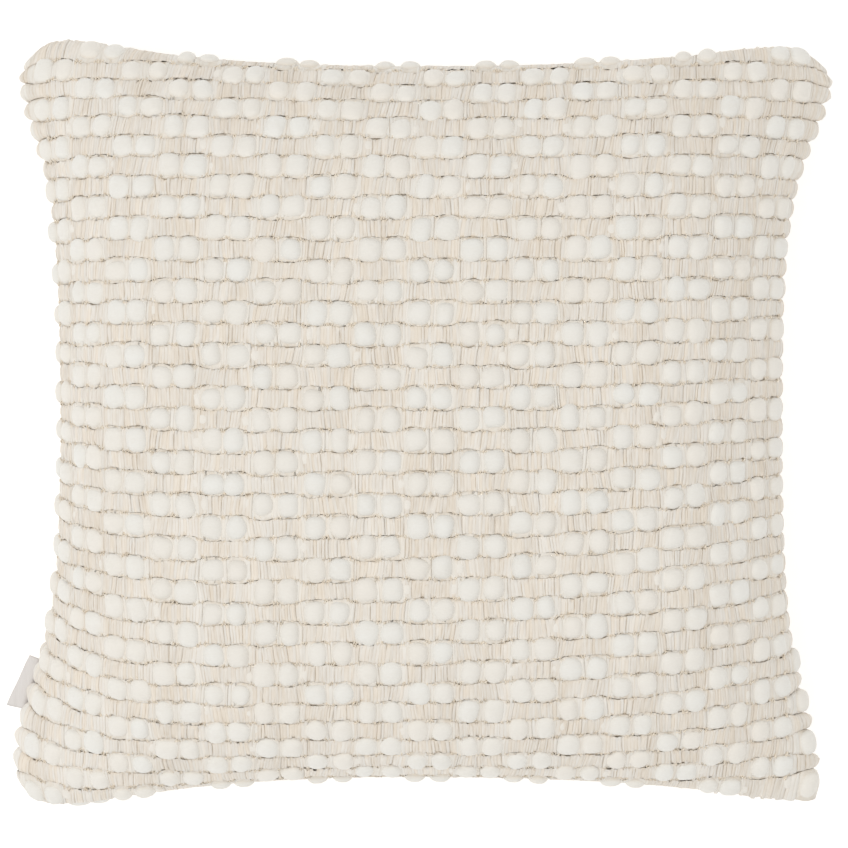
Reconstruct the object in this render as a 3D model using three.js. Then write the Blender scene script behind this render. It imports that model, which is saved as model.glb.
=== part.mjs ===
import * as THREE from "three";

// A plump square cushion in a hand-woven bobble cover, lying on its back.
// Millimetres, +Z up, +X to the right and +Y to the top of the front panel.

// The front cloth laid flat: cords run across it as rows, and in every other pair of
// columns a row's wool weft puffs out into two bobbles.
const CLOTH_WIDTH = 500;
const ROW_COUNT = 38;
const ROW_PITCH = 12.5;
const COLUMN_COUNT = 33;
const COLUMN_PITCH = 15.15;
const FIRST_COLUMN = -238;
const COLUMNS_IN_PAIR = 2;

// Relief of the cloth, measured from the crest of a plain rib. It fades out close to the
// seam, and no line of it lies nearer to the seam than a share of the pitch.
const BOBBLE_RISE = 3.6;
const FURROW_DEPTH = 3.2;
const PIT_DEPTH = 3.8;
const WARP_NICK = 0.5;
const PAIR_DIP = 1.6;
const BOBBLE_SPREAD = 1.5;
const RELIEF_FADE = 9;
const NEAREST_TO_SEAM = 0.25;
const NORMAL_STEP = 0.5;

// The filled form: the crown is highest, and the edge runs round below it. The last cord
// rolls down to the seam.
const CROWN_HEIGHT = 136;
const EDGE_HEIGHT = 62;
const CORNER_DROOP = { depth: 14, power: 3 };
const CORD_ROLL = 8;
const MIDDLE_X = -8.7;
const MIDDLE_Y = -3.8;

// Lean of the cloth from level, in degrees, on its way from the seam to the middle.
const LEANS = [
  { fromSeam: 0, left: 100, right: 104, bottom: 112, top: 112 },
  { fromSeam: 10, left: 87, right: 75, bottom: 76, top: 53 },
  { fromSeam: 22, left: 64, right: 42, bottom: 58, top: 40 },
  { fromSeam: 45, left: 52, right: 35, bottom: 35, top: 26 },
  { fromSeam: 70, left: 35, right: 29, bottom: 23, top: 18 },
  { fromSeam: 95, left: 13, right: 16, bottom: 15, top: 11 },
  { fromSeam: 120, left: 8, right: 8, bottom: 7, top: 5 },
  { fromSeam: 150, left: 4, right: 4, bottom: 3, top: 3 },
  { fromSeam: 190, left: 1.5, right: 2, bottom: 1, top: 1 },
  { fromSeam: 250, left: 0, right: 0, bottom: 0, top: 0 },
];

// Where the four corners point before their tips are rounded, and how much each is rounded.
const CORNERS = {
  topLeft: { x: -248.5, y: 238, rounding: 0.05 },
  topRight: { x: 254, y: 235, rounding: 0.06 },
  bottomLeft: { x: -256, y: -251, rounding: 0.05 },
  bottomRight: { x: 237, y: -227, rounding: 0.01 },
};
const CORNER_SHARPNESS = 10;

// The sides draw in between the corners. Inside the cloth they widen evenly towards a corner,
// and the seam has fuller shoulders: it widens later, and then all at once.
const FLARE = 1.53;
const SIDE_SHOULDERS = { late: 3.64, full: 2 };
const END_SHOULDERS = { late: 2.36, full: 1.2 };
const SHOULDER_SHARPNESS = 5;

// Rows that don't lie straight: a slope over the lower half, and rows that curl up towards
// the left seam, most of all beside the tab.
const SLOPE = { rise: 4, at: -110, width: 80, least: -0.55 };
const CURL = { rise: 29, at: -161, above: 160, below: 102, power: 4.3 };

// Close to a corner the cloth is drawn in a little, and the seam itself isn't.
const TUCK = { draw: 3.8, seamPower: 8, cornerPower: 6 };

// The underside: a flat patch to rest on, and a back cloth that rounds up to the seam.
const REST_HALF_X = 158;
const REST_HALF_Y = 148;
const REST_CORNER_POWER = 4;
const SIDE_BULGE = 2;
const CORNER_BULGE = 1.35;
const CORNER_BULGE_POWER = 2;
const UNDER_STEPS = [1, 0.95, 0.8, 0.58, 0.3, 0];
const BACK_THICKNESS = 2;
const CLEARANCE = 0.3;
const CORNER_ZONE = 45;
const STOP_EVERY = 3;

// The folded tape tab in the left seam, between two places along the seam. Its fold stands
// out further at the bottom, a little higher than its raw edges.
const TAB_TOP = -162;
const TAB_BOTTOM = -191;
const TAB_STEPS = 8;
const TAB_TOP_REACH = 5;
const TAB_BOTTOM_REACH = 10.5;
const TAB_THICKNESS = 1.8;
const TAB_SAG = 1.5;
const TAB_TURN = 2.5;
const TAB_CLEARANCE = 0.6;

const WOVEN_FRONT = { color: 0xe6ddd0, roughness: 0.95 };
const BACK_CLOTH = { color: 0xe1d7c7, roughness: 0.9 };
const TAB_TAPE = { color: 0xd9d0ca, roughness: 0.7 };

const HALF_X = CLOTH_WIDTH / 2;
const HALF_Y = (ROW_COUNT * ROW_PITCH) / 2;
const RISE = CROWN_HEIGHT - EDGE_HEIGHT;

// Running reach and drop of the cloth along one side, one entry for each millimetre.
function sideSection(side, half) {
  const reach = [0];
  const drop = [0];
  for (let step = 0; step < half; step += 1) {
    const length = Math.min(1, half - step);
    const lean = THREE.MathUtils.degToRad(leanAt(side, half - step - length / 2));
    reach.push(reach[step] + length * Math.cos(lean));
    drop.push(drop[step] + length * Math.sin(lean));
  }
  return { half, reach, drop };
}

function leanAt(side, fromSeam) {
  const next = Math.max(1, LEANS.findIndex((row) => row.fromSeam >= fromSeam));
  const low = LEANS[next - 1];
  const high = LEANS[next];
  const share = (fromSeam - low.fromSeam) / (high.fromSeam - low.fromSeam);
  return THREE.MathUtils.lerp(low[side], high[side], share);
}

const sections = {
  left: sideSection("left", HALF_X),
  right: sideSection("right", HALF_X),
  bottom: sideSection("bottom", HALF_Y),
  top: sideSection("top", HALF_Y),
};

// How far the cloth reaches, and how full the cushion still is, at a distance from its middle.
function followSection(distance, lowSide, highSide) {
  const section = sections[distance < 0 ? lowSide : highSide];
  const along = Math.min(Math.abs(distance), section.half);
  const start = Math.min(Math.floor(along), section.reach.length - 2);
  const length = Math.min(1, section.half - start);
  const share = (along - start) / length;
  const reach = THREE.MathUtils.lerp(section.reach[start], section.reach[start + 1], share);
  const drop = THREE.MathUtils.lerp(section.drop[start], section.drop[start + 1], share);
  return { reach: Math.sign(distance) * reach, fullness: 1 - drop / section.drop.at(-1) };
}

function bell(value, at, width) {
  return Math.exp(-(((value - at) / width) ** 2));
}

// Share of the way out from the drawn-in side to the straight line between two corners, at
// some share of the way to a corner and of the way from the middle out to the seam.
function flareShare(toCorner, toSeam, { late, full }) {
  const atSeam = 1 - (1 - toCorner ** late) ** full;
  return THREE.MathUtils.lerp(toCorner ** FLARE, atSeam, toSeam ** SHOULDER_SHARPNESS);
}

// A value of the four corners, blended over the cloth.
function cornerMean(key, toRight, toTop) {
  const { topLeft, topRight, bottomLeft, bottomRight } = CORNERS;
  const { lerp } = THREE.MathUtils;
  const bottom = lerp(bottomLeft[key], bottomRight[key], toRight);
  return lerp(bottom, lerp(topLeft[key], topRight[key], toRight), toTop);
}

// How far the cloth is drawn in along one direction, close to the seams of the other one.
function tuckIn(share, otherShare) {
  const { draw, seamPower, cornerPower } = TUCK;
  return draw * share * (1 - share ** seamPower) * Math.abs(otherShare) ** cornerPower;
}

// A point of the filled cushion's front for a point of the flat cloth.
function clothPoint(across, up) {
  const u = across / HALF_X;
  const v = up / HALF_Y;
  const uSize = Math.abs(u);
  const vSize = Math.abs(v);
  const { lerp, clamp } = THREE.MathUtils;
  const acrossPart = followSection(across, "left", "right");
  const upPart = followSection(up, "bottom", "top");
  const edgeForX = flareShare(vSize, uSize, SIDE_SHOULDERS);
  const edgeForY = flareShare(uSize, vSize, END_SHOULDERS);
  const toRight = (1 + u) / 2;
  const toTop = (1 + v) / 2;
  const flatX = cornerMean("x", toRight, toTop);
  const flatY = cornerMean("y", toRight, toTop);
  const cornerNearness = uSize * vSize;
  const tip = cornerMean("rounding", toRight, toTop);
  const rounding = 1 - tip * cornerNearness ** CORNER_SHARPNESS;
  const x = rounding * lerp(MIDDLE_X + acrossPart.reach, flatX, edgeForX);
  const y = rounding * lerp(MIDDLE_Y + upPart.reach, flatY, edgeForY);
  const toLeft = Math.max(0, -u);
  const slope = SLOPE.rise * clamp(u, SLOPE.least, 1) * bell(up, SLOPE.at, SLOPE.width);
  const curlWidth = up > CURL.at ? CURL.above : CURL.below;
  const curl = CURL.rise * toLeft ** CURL.power * bell(up, CURL.at, curlWidth);
  const fullness = acrossPart.fullness * upPart.fullness;
  const toSeam = Math.min(HALF_X - Math.abs(across), HALF_Y - Math.abs(up));
  const roll = clamp(1 - toSeam / CORD_ROLL, 0, 1);
  const droop = CORNER_DROOP.depth * cornerNearness ** CORNER_DROOP.power;
  const rolledDown = CORD_ROLL * (1 - Math.sqrt(1 - roll ** 2));
  const z = EDGE_HEIGHT + RISE * fullness - droop - rolledDown;
  return new THREE.Vector3(x - tuckIn(u, v), y - tuckIn(v, u) + slope + curl, z);
}

// The same point lifted off the cloth along its outward direction.
function raisedPoint(across, up, lift) {
  const a = THREE.MathUtils.clamp(across, NORMAL_STEP - HALF_X, HALF_X - NORMAL_STEP);
  const b = THREE.MathUtils.clamp(up, NORMAL_STEP - HALF_Y, HALF_Y - NORMAL_STEP);
  const alongX = clothPoint(a + NORMAL_STEP, b).sub(clothPoint(a - NORMAL_STEP, b));
  const alongY = clothPoint(a, b + NORMAL_STEP).sub(clothPoint(a, b - NORMAL_STEP));
  const outward = alongX.cross(alongY).normalize();
  return clothPoint(across, up).addScaledVector(outward, lift);
}

// True where a row's weft puffs out into a bobble. Rows count from the top.
function isBobble(row, column) {
  return (row + Math.floor(column / COLUMNS_IN_PAIR)) % 2 === 1;
}

// Lines of the relief: the middle and the edge of each row or column, with the cloth's own edges.
function reliefLines(count, centreOf, pitch, half) {
  const lines = [{ at: -half, kind: "seam" }];
  const last = half - NEAREST_TO_SEAM * pitch;
  for (let index = 0; index < count; index += 1) {
    const centre = centreOf(index);
    if (centre < last) {
      lines.push({ at: centre, kind: "middle", index });
    }
    if (centre + pitch / 2 < last) {
      lines.push({ at: centre + pitch / 2, kind: "edge", index });
    }
  }
  lines.push({ at: half, kind: "seam" });
  return lines;
}

const columnLines = reliefLines(
  COLUMN_COUNT,
  (column) => FIRST_COLUMN + column * COLUMN_PITCH,
  COLUMN_PITCH,
  HALF_X,
);
const rowLines = reliefLines(
  ROW_COUNT,
  (index) => (index + 0.5) * ROW_PITCH - HALF_Y,
  ROW_PITCH,
  HALF_Y,
);

const rowFromTop = (line) => ROW_COUNT - 1 - line.index;

// Lift of the cloth where a column line crosses a row line, and how far a furrow is pushed
// along by the bobbles on one side of it.
function reliefAt(columnLine, rowLine) {
  if (columnLine.kind === "seam" || rowLine.kind === "seam") {
    return { lift: 0, shift: 0 };
  }
  const row = rowFromTop(rowLine);
  const column = columnLine.index;
  if (rowLine.kind === "middle" && columnLine.kind === "middle") {
    return { lift: isBobble(row, column) ? BOBBLE_RISE : 0, shift: 0 };
  }
  if (rowLine.kind === "middle") {
    const bobbles = isBobble(row, column) && isBobble(row, column + 1);
    return { lift: bobbles ? -PAIR_DIP : -WARP_NICK, shift: 0 };
  }
  const bobbleBelow = isBobble(row, column);
  const shift = bobbleBelow ? BOBBLE_SPREAD : -BOBBLE_SPREAD;
  if (columnLine.kind === "middle") {
    return { lift: -FURROW_DEPTH, shift };
  }
  const turns = isBobble(row, column) !== isBobble(row, column + 1);
  return { lift: -PIT_DEPTH, shift: turns ? 0 : shift / 2 };
}

// A point of the raised front. Furrows fade out towards the seam and bobbles keep their height.
function frontVertex(columnLine, rowLine) {
  const { lift, shift } = reliefAt(columnLine, rowLine);
  const toSide = HALF_X - Math.abs(columnLine.at);
  const toEnd = HALF_Y - Math.abs(rowLine.at);
  const share = Math.min(1, toSide / RELIEF_FADE, toEnd / RELIEF_FADE);
  const faded = lift < 0 ? lift * share : lift;
  return raisedPoint(columnLine.at, rowLine.at + shift, faded);
}

// A growing list of points and faces that ends as one closed body.
class Shell {
  constructor() {
    this.points = [];
    this.faces = [];
  }

  add(point) {
    this.points.push(point);
    return this.points.length - 1;
  }

  face(a, b, c) {
    this.faces.push(a, b, c);
  }

  // Joins two loops with as many points each, with its faces turned out or in.
  strip(upper, lower, turnedIn = false) {
    for (let k = 0; k < upper.length; k += 1) {
      const next = (k + 1) % upper.length;
      if (turnedIn) {
        this.face(upper[k], lower[next], lower[k]);
        this.face(upper[k], upper[next], lower[next]);
      } else {
        this.face(upper[k], lower[k], lower[next]);
        this.face(upper[k], lower[next], upper[next]);
      }
    }
  }

  // Joins a full loop to one that keeps only some of its points.
  thinningStrip(full, kept, keptPoints) {
    for (let k = 0; k < kept.length; k += 1) {
      const end = k + 1 < kept.length ? kept[k + 1] : full.length;
      for (let m = kept[k]; m < end; m += 1) {
        this.face(full[m], keptPoints[k], full[(m + 1) % full.length]);
      }
      const next = (k + 1) % kept.length;
      this.face(full[end % full.length], keptPoints[k], keptPoints[next]);
    }
  }

  // Closes a loop with a fan round its middle.
  fan(loop, middle, turnedIn = false) {
    for (let k = 0; k < loop.length; k += 1) {
      const next = (k + 1) % loop.length;
      if (turnedIn) {
        this.face(loop[k], loop[next], middle);
      } else {
        this.face(loop[k], middle, loop[next]);
      }
    }
  }

  geometry() {
    const geometry = new THREE.BufferGeometry();
    const flat = this.points.flatMap((point) => point.toArray());
    geometry.setAttribute("position", new THREE.Float32BufferAttribute(flat, 3));
    geometry.setIndex(this.faces);
    geometry.computeVertexNormals();
    return geometry;
  }
}

// The seam line, anticlockwise from above: index pairs into the relief lines.
function seamLoop() {
  const lastColumn = columnLines.length - 1;
  const lastRow = rowLines.length - 1;
  const loop = [];
  for (let c = 0; c < lastColumn; c += 1) {
    loop.push([c, 0]);
  }
  for (let r = 0; r < lastRow; r += 1) {
    loop.push([lastColumn, r]);
  }
  for (let c = lastColumn; c > 0; c -= 1) {
    loop.push([c, lastRow]);
  }
  for (let r = lastRow; r > 0; r -= 1) {
    loop.push([0, r]);
  }
  return loop;
}

const seam = seamLoop();

// The places along the seam where a section of the underside is taken: all of them round
// a corner, and every third one between.
const seamStops = seam
  .map(([c, r], index) => ({ across: columnLines[c].at, up: rowLines[r].at, index }))
  .filter(({ across, up, index }) => {
    const cornerX = HALF_X - Math.abs(across);
    const cornerY = HALF_Y - Math.abs(up);
    return Math.max(cornerX, cornerY) < CORNER_ZONE || index % STOP_EVERY === 0;
  });

// A point of the underside's section at one stop: step 1 is the seam, step 0 the edge of the
// flat patch. The section is a quarter of a superellipse, set in by some depth.
function underPoint(stop, step, depth) {
  const u = stop.across / HALF_X;
  const v = stop.up / HALF_Y;
  const power = REST_CORNER_POWER;
  const round = (Math.abs(u) ** power + Math.abs(v) ** power) ** (-1 / power);
  const rest = new THREE.Vector2(u * REST_HALF_X * round, v * REST_HALF_Y * round);
  const edge = clothPoint(stop.across, stop.up);
  const span = new THREE.Vector2(edge.x, edge.y).sub(rest);
  const width = span.length();
  const height = edge.z - CLEARANCE;
  const corner = Math.abs(u * v) ** CORNER_BULGE_POWER;
  const bulge = THREE.MathUtils.lerp(SIDE_BULGE, CORNER_BULGE, corner);
  const level = (1 - step ** bulge) ** (1 / bulge);
  const normal = new THREE.Vector2(
    step ** (bulge - 1) / width,
    -(level ** (bulge - 1)) / height,
  ).normalize();
  const outward = step * width - depth * normal.x;
  const z = height * (1 - level) - depth * normal.y;
  span.normalize();
  return new THREE.Vector3(rest.x + span.x * outward, rest.y + span.y * outward, z);
}

// Rings of the underside from the seam to the flat patch, and the patch closed by a fan.
function addUnderside(shell, rings, depth, turnedIn = false) {
  const middle = shell.add(new THREE.Vector3(0, 0, depth));
  for (let k = 0; k + 1 < rings.length; k += 1) {
    shell.strip(rings[k], rings[k + 1], turnedIn);
  }
  shell.fan(rings.at(-1), middle, turnedIn);
}

function underRings(shell, depth) {
  return UNDER_STEPS.map((step) =>
    seamStops.map((stop) => shell.add(underPoint(stop, step, depth))),
  );
}

// Front cloth and filling in one body: the raised front, and an underside that leaves room
// for the back cloth.
function makeCushion() {
  const shell = new Shell();
  const grid = columnLines.map((columnLine) =>
    rowLines.map((rowLine) => shell.add(frontVertex(columnLine, rowLine))),
  );
  for (let c = 0; c + 1 < columnLines.length; c += 1) {
    for (let r = 0; r + 1 < rowLines.length; r += 1) {
      const near = grid[c][r];
      const right = grid[c + 1][r];
      const far = grid[c][r + 1];
      const farRight = grid[c + 1][r + 1];
      const middles = [columnLines[c], rowLines[r]].filter((line) => line.kind === "middle");
      if (middles.length === 1) {
        shell.face(near, right, far);
        shell.face(right, farRight, far);
      } else {
        shell.face(near, right, farRight);
        shell.face(near, farRight, far);
      }
    }
  }
  const depth = BACK_THICKNESS + CLEARANCE;
  const rings = underRings(shell, depth);
  rings[0].forEach((index, k) => {
    const { across, up } = seamStops[k];
    shell.points[index].z = clothPoint(across, up).z;
  });
  shell.thinningStrip(
    seam.map(([c, r]) => grid[c][r]),
    seamStops.map((stop) => stop.index),
    rings[0],
  );
  addUnderside(shell, rings, depth);
  return shell.geometry();
}

// The back cloth: a sheet that runs from the seam under the cushion.
function makeBackPanel() {
  const shell = new Shell();
  const outer = underRings(shell, 0);
  const inner = underRings(shell, BACK_THICKNESS);
  addUnderside(shell, outer, 0);
  addUnderside(shell, inner, BACK_THICKNESS, true);
  shell.strip(inner[0], outer[0]);
  return shell.geometry();
}

// The folded tab: its raw edges lie against the seam and its fold stands out to the left.
function makeTab() {
  const shell = new Shell();
  const sectionAt = (share) => {
    const up = THREE.MathUtils.lerp(TAB_TOP, TAB_BOTTOM, share);
    const root = clothPoint(-HALF_X, up);
    const reach = THREE.MathUtils.lerp(TAB_TOP_REACH, TAB_BOTTOM_REACH, share);
    const half = TAB_THICKNESS / 2;
    const inside = root.x - TAB_CLEARANCE;
    const outside = inside - reach;
    const outline = [
      { x: inside, y: 0, z: half },
      { x: outside + half, y: TAB_TURN, z: half - TAB_SAG },
      { x: outside, y: TAB_TURN, z: -TAB_SAG },
      { x: outside + half, y: TAB_TURN, z: -half - TAB_SAG },
      { x: inside, y: 0, z: -half },
    ];
    return outline.map(({ x, y, z }) => shell.add(new THREE.Vector3(x, root.y + y, root.z + z)));
  };
  const rings = [];
  for (let k = 0; k <= TAB_STEPS; k += 1) {
    rings.push(sectionAt(k / TAB_STEPS));
  }
  for (let k = 0; k < TAB_STEPS; k += 1) {
    shell.strip(rings[k], rings[k + 1], true);
  }
  closeEnd(shell, rings[0], true);
  closeEnd(shell, rings[TAB_STEPS], false);
  return shell.geometry();
}

function closeEnd(shell, ring, turnedIn) {
  for (let k = 1; k + 1 < ring.length; k += 1) {
    if (turnedIn) {
      shell.face(ring[0], ring[k + 1], ring[k]);
    } else {
      shell.face(ring[0], ring[k], ring[k + 1]);
    }
  }
}

function namedMesh(name, geometry, { color, roughness }) {
  const material = new THREE.MeshStandardMaterial({ color, roughness, metalness: 0 });
  const mesh = new THREE.Mesh(geometry, material);
  mesh.name = name;
  return mesh;
}

const group = new THREE.Group();
group.add(namedMesh("cushion", makeCushion(), WOVEN_FRONT));
group.add(namedMesh("back_panel", makeBackPanel(), BACK_CLOTH));
group.add(namedMesh("side_tab", makeTab(), TAB_TAPE));

// The origin is the middle of the whole outline, on the surface it rests on.
const extent = new THREE.Box3().setFromObject(group, true);
const middle = extent.getCenter(new THREE.Vector3());
group.position.set(-middle.x, -middle.y, -extent.min.z);

export default group;
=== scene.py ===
import math

import bpy
import mathutils
import numpy as np
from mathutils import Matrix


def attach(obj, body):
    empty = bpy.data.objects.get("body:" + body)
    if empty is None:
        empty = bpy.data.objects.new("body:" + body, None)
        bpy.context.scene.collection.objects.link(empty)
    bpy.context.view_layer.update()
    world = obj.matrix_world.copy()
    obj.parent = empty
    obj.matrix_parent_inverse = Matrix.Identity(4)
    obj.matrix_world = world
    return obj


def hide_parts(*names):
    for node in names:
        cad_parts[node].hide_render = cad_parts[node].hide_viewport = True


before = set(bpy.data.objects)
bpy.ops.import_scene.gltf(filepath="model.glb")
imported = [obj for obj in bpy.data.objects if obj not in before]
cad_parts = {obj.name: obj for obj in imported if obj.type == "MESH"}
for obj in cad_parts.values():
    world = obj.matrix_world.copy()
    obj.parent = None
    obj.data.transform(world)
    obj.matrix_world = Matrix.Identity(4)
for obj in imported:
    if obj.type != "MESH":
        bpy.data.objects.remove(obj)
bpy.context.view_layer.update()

# The filled front: the woven panel with its pad behind it. Cut flat it is 500 by 475 mm, and
# the pad rounds it out, so its sides draw in between the corners. Made here is the ground of
# the weave with the filling under it; it shows only at the bottom of the furrows.
MM = 0.001
PANEL_HALF_X = 250.0
PANEL_HALF_Y = 237.5
FORM_PLACE = (4.806, -0.333)
FROM_SEAM = (0, 10, 22, 45, 70, 95, 120, 150, 190, 250)
LEAN_DEGREES = {
    "left": (100, 87, 64, 52, 35, 13, 8, 4, 1.5, 0),
    "right": (104, 75, 42, 35, 29, 16, 8, 4, 2, 0),
    "bottom": (112, 76, 58, 35, 23, 15, 7, 3, 1, 0),
    "top": (112, 53, 40, 26, 18, 11, 5, 3, 1, 0),
}


def side_section(side, half):
    """Reach and drop of the panel at each millimetre from its middle to one seam.

    They are the running sums of the cosine and the sine of the side's lean."""
    marks = np.append(np.arange(0.0, half), half)
    steps = np.diff(marks)
    to_seam = half - (marks[:-1] + marks[1:]) / 2
    lean = np.radians(np.interp(to_seam, FROM_SEAM, LEAN_DEGREES[side]))
    reach = np.append(0.0, np.cumsum(steps * np.cos(lean)))
    drop = np.append(0.0, np.cumsum(steps * np.sin(lean)))
    return marks, reach, 1 - drop / drop[-1]


SECTIONS = {
    "left": side_section("left", PANEL_HALF_X),
    "right": side_section("right", PANEL_HALF_X),
    "bottom": side_section("bottom", PANEL_HALF_Y),
    "top": side_section("top", PANEL_HALF_Y),
}


def follow_section(distance, low_side, high_side):
    """Signed reach and remaining fullness at a signed distance from the panel's middle."""
    far = np.abs(distance)
    low, high = SECTIONS[low_side], SECTIONS[high_side]
    reach, fullness = (
        np.where(distance < 0, np.interp(far, low[0], low[k]), np.interp(far, high[0], high[k]))
        for k in (1, 2)
    )
    return np.sign(distance) * reach, fullness


MIDDLE = (-8.7, -3.8)
CROWN = 136.0
EDGE = 62.0
CORNER_DROOP = {"depth": 14.0, "power": 3}
CORNERS = {
    "top_left": np.array([-248.5, 238, 0.05]),
    "top_right": np.array([254, 235, 0.06]),
    "bottom_left": np.array([-256, -251, 0.05]),
    "bottom_right": np.array([237, -227, 0.01]),
}
CORNER_SHARPNESS = 10
FLARE = 1.53
SIDE_SHOULDERS = (3.64, 2.0)
END_SHOULDERS = (2.36, 1.2)
SHOULDER_SHARPNESS = 5
SLOPE = {"rise": 4.0, "at": -110, "width": 80, "least": -0.55}
CURL = {"rise": 29.0, "at": -161, "above": 160, "below": 102, "power": 4.3}
TUCK = {"draw": 3.8, "seam_power": 8, "corner_power": 6}


def bell(value, at, width):
    """A smooth hump: e to the minus square of the distance in widths."""
    return np.exp(-(((value - at) / width) ** 2))


def between_corners(to_right, to_top, corners):
    """A value blended evenly, across and up, between its values at the four corners."""
    low = corners["bottom_left"] * (1 - to_right) + corners["bottom_right"] * to_right
    high = corners["top_left"] * (1 - to_right) + corners["top_right"] * to_right
    return low * (1 - to_top) + high * to_top


def flare_share(to_corner, to_seam, shoulders):
    """Share of the way out from a drawn-in side to the straight line between two corners.

    Inside the panel it is a power of the way to the corner. At the seam, one minus a power of
    what a higher power leaves gives the corner its full shoulders."""
    late, full = shoulders
    inside = to_corner**FLARE
    at_seam = 1 - (1 - to_corner**late) ** full
    return inside + (at_seam - inside) * to_seam**SHOULDER_SHARPNESS


def tuck_in(share, other_size):
    """How far the cloth is drawn in close to a corner, and not at the seam itself."""
    at_seam = share ** TUCK["seam_power"]
    return TUCK["draw"] * share * (1 - at_seam) * other_size ** TUCK["corner_power"]


def filled_form(across, up):
    """Place of the filled front, in millimetres, for a place on the flat panel.

    The reach of the two sections gives x and y, which towards a seam give way to the straight
    line between two corners. The two fullnesses multiply into the height, and the corners
    droop. Close to a corner the cloth is drawn in behind its seams. Rows slope over the lower
    half and curl up towards the left seam."""
    u, v = across / PANEL_HALF_X, up / PANEL_HALF_Y
    u_size, v_size = np.abs(u).clip(0, 1), np.abs(v).clip(0, 1)
    reach_x, full_x = follow_section(across, "left", "right")
    reach_y, full_y = follow_section(up, "bottom", "top")
    seam_x = flare_share(v_size, u_size, SIDE_SHOULDERS)
    seam_y = flare_share(u_size, v_size, END_SHOULDERS)
    straight = between_corners((1 + u[..., None]) / 2, (1 + v[..., None]) / 2, CORNERS)
    straight_x, straight_y, tip = np.moveaxis(straight, -1, 0)
    corner = u_size * v_size
    rounding = 1 - tip * corner**CORNER_SHARPNESS
    x = rounding * ((MIDDLE[0] + reach_x) * (1 - seam_x) + straight_x * seam_x)
    y = rounding * ((MIDDLE[1] + reach_y) * (1 - seam_y) + straight_y * seam_y)
    x = x - tuck_in(u, v_size)
    y = y - tuck_in(v, u_size)
    y = y + SLOPE["rise"] * np.clip(u, SLOPE["least"], 1) * bell(up, SLOPE["at"], SLOPE["width"])
    curl_width = np.where(up > CURL["at"], CURL["above"], CURL["below"])
    to_left = np.maximum(0, -u)
    y = y + CURL["rise"] * to_left ** CURL["power"] * bell(up, CURL["at"], curl_width)
    droop = CORNER_DROOP["depth"] * corner ** CORNER_DROOP["power"]
    z = EDGE + (CROWN - EDGE) * full_x * full_y - droop
    return np.stack([x + FORM_PLACE[0], y + FORM_PLACE[1], z], axis=-1)


CORD_ROLL = 8.0
NORMAL_STEP = 0.5


def front_point(across, up, overhang=0.0):
    """Place on the front with its rolled edge, which may overhang the seam.

    Past the seam the form runs straight on. Its last cord rolls down in a quarter circle."""
    a = np.clip(across, -PANEL_HALF_X, PANEL_HALF_X)
    b = np.clip(up, -PANEL_HALF_Y, PANEL_HALF_Y)
    place = filled_form(a, b)
    past_side, past_end = np.abs(across - a)[..., None], np.abs(up - b)[..., None]
    place = (
        place
        + past_side * (place - filled_form(a - np.sign(a), b))
        + past_end * (place - filled_form(a, b - np.sign(b)))
    )
    to_edge = overhang + np.minimum(PANEL_HALF_X - np.abs(across), PANEL_HALF_Y - np.abs(up))
    roll = np.clip(1 - to_edge / CORD_ROLL, 0, 1)
    place[..., 2] -= CORD_ROLL * (1 - np.sqrt(1 - roll**2))
    return place


def front_frame(across, up, overhang=0.0):
    """The front's two running directions, not yet unit vectors, and its outward unit normal."""
    step = NORMAL_STEP
    half_x, half_y = PANEL_HALF_X + overhang - step, PANEL_HALF_Y + overhang - step
    a, b = np.clip(across, -half_x, half_x), np.clip(up, -half_y, half_y)
    along_row = front_point(a + step, b, overhang) - front_point(a - step, b, overhang)
    along_column = front_point(a, b + step, overhang) - front_point(a, b - step, overhang)
    normal = np.cross(along_row, along_column)
    normal /= np.linalg.norm(normal, axis=-1, keepdims=True)
    return along_row, along_column, normal


REST_HALF = (158.0, 148.0)
REST_SHARE = 0.58
REST_CORNER_POWER = 4
SIDE_BULGE = 2.0
CORNER_BULGE = 1.35
CLEARANCE = 0.3


def under_point(u, v, depth):
    """Place of the underside for shares u and v of the panel's half sides.

    A square ring of the panel goes to one ring of the underside. Rings within REST_SHARE lie
    flat; the others climb a superellipse quarter to the seam, fuller at the sides than at the
    corners. The depth sets the surface in along its normal."""
    ring = np.maximum(np.abs(u), np.abs(v))
    seam_u = np.where(ring > 0, u / np.maximum(ring, 1e-6), 1)
    seam_v = v / np.maximum(ring, 1e-6)
    rounding = (seam_u**REST_CORNER_POWER + seam_v**REST_CORNER_POWER) ** (-1 / REST_CORNER_POWER)
    rest = np.stack([seam_u * REST_HALF[0] * rounding, seam_v * REST_HALF[1] * rounding], axis=-1)
    rest = rest + np.array(FORM_PLACE)
    edge = front_point(seam_u * PANEL_HALF_X, seam_v * PANEL_HALF_Y)
    span = edge[..., :2] - rest
    width = np.linalg.norm(span, axis=-1)
    height = edge[..., 2] - CLEARANCE
    step = np.clip((ring - REST_SHARE) / (1 - REST_SHARE), 0, 1)
    bulge = SIDE_BULGE + (CORNER_BULGE - SIDE_BULGE) * (seam_u * seam_v) ** 2
    level = np.maximum(1 - step**bulge, 0) ** (1 / bulge)
    normal_out, normal_down = step ** (bulge - 1) / width, level ** (bulge - 1) / height
    size = np.hypot(normal_out, normal_down)
    out = step * width - depth * normal_out / size
    z = height * (1 - level) + depth * normal_down / size
    plan = rest * np.minimum(ring / REST_SHARE, 1)[..., None] + span * (out / width)[..., None]
    return np.concatenate([plan, z[..., None]], axis=-1)


GROUND_STATIONS = (121, 115)
SEAM_CROWDING = 1.25
AT_SEAM = 0.99999
GROUND_DEPTH = 1.5
SEAM_DEPTH = 4.0
GROUND_RUN = 25.0


def panel_shares(stations):
    """Shares of the half sides over a grid, set closer together towards the seam by a sine."""
    runs = [
        np.sin(np.linspace(-1, 1, n) * SEAM_CROWDING) / math.sin(SEAM_CROWDING) for n in stations
    ]
    return np.meshgrid(*runs, indexing="ij")


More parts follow.
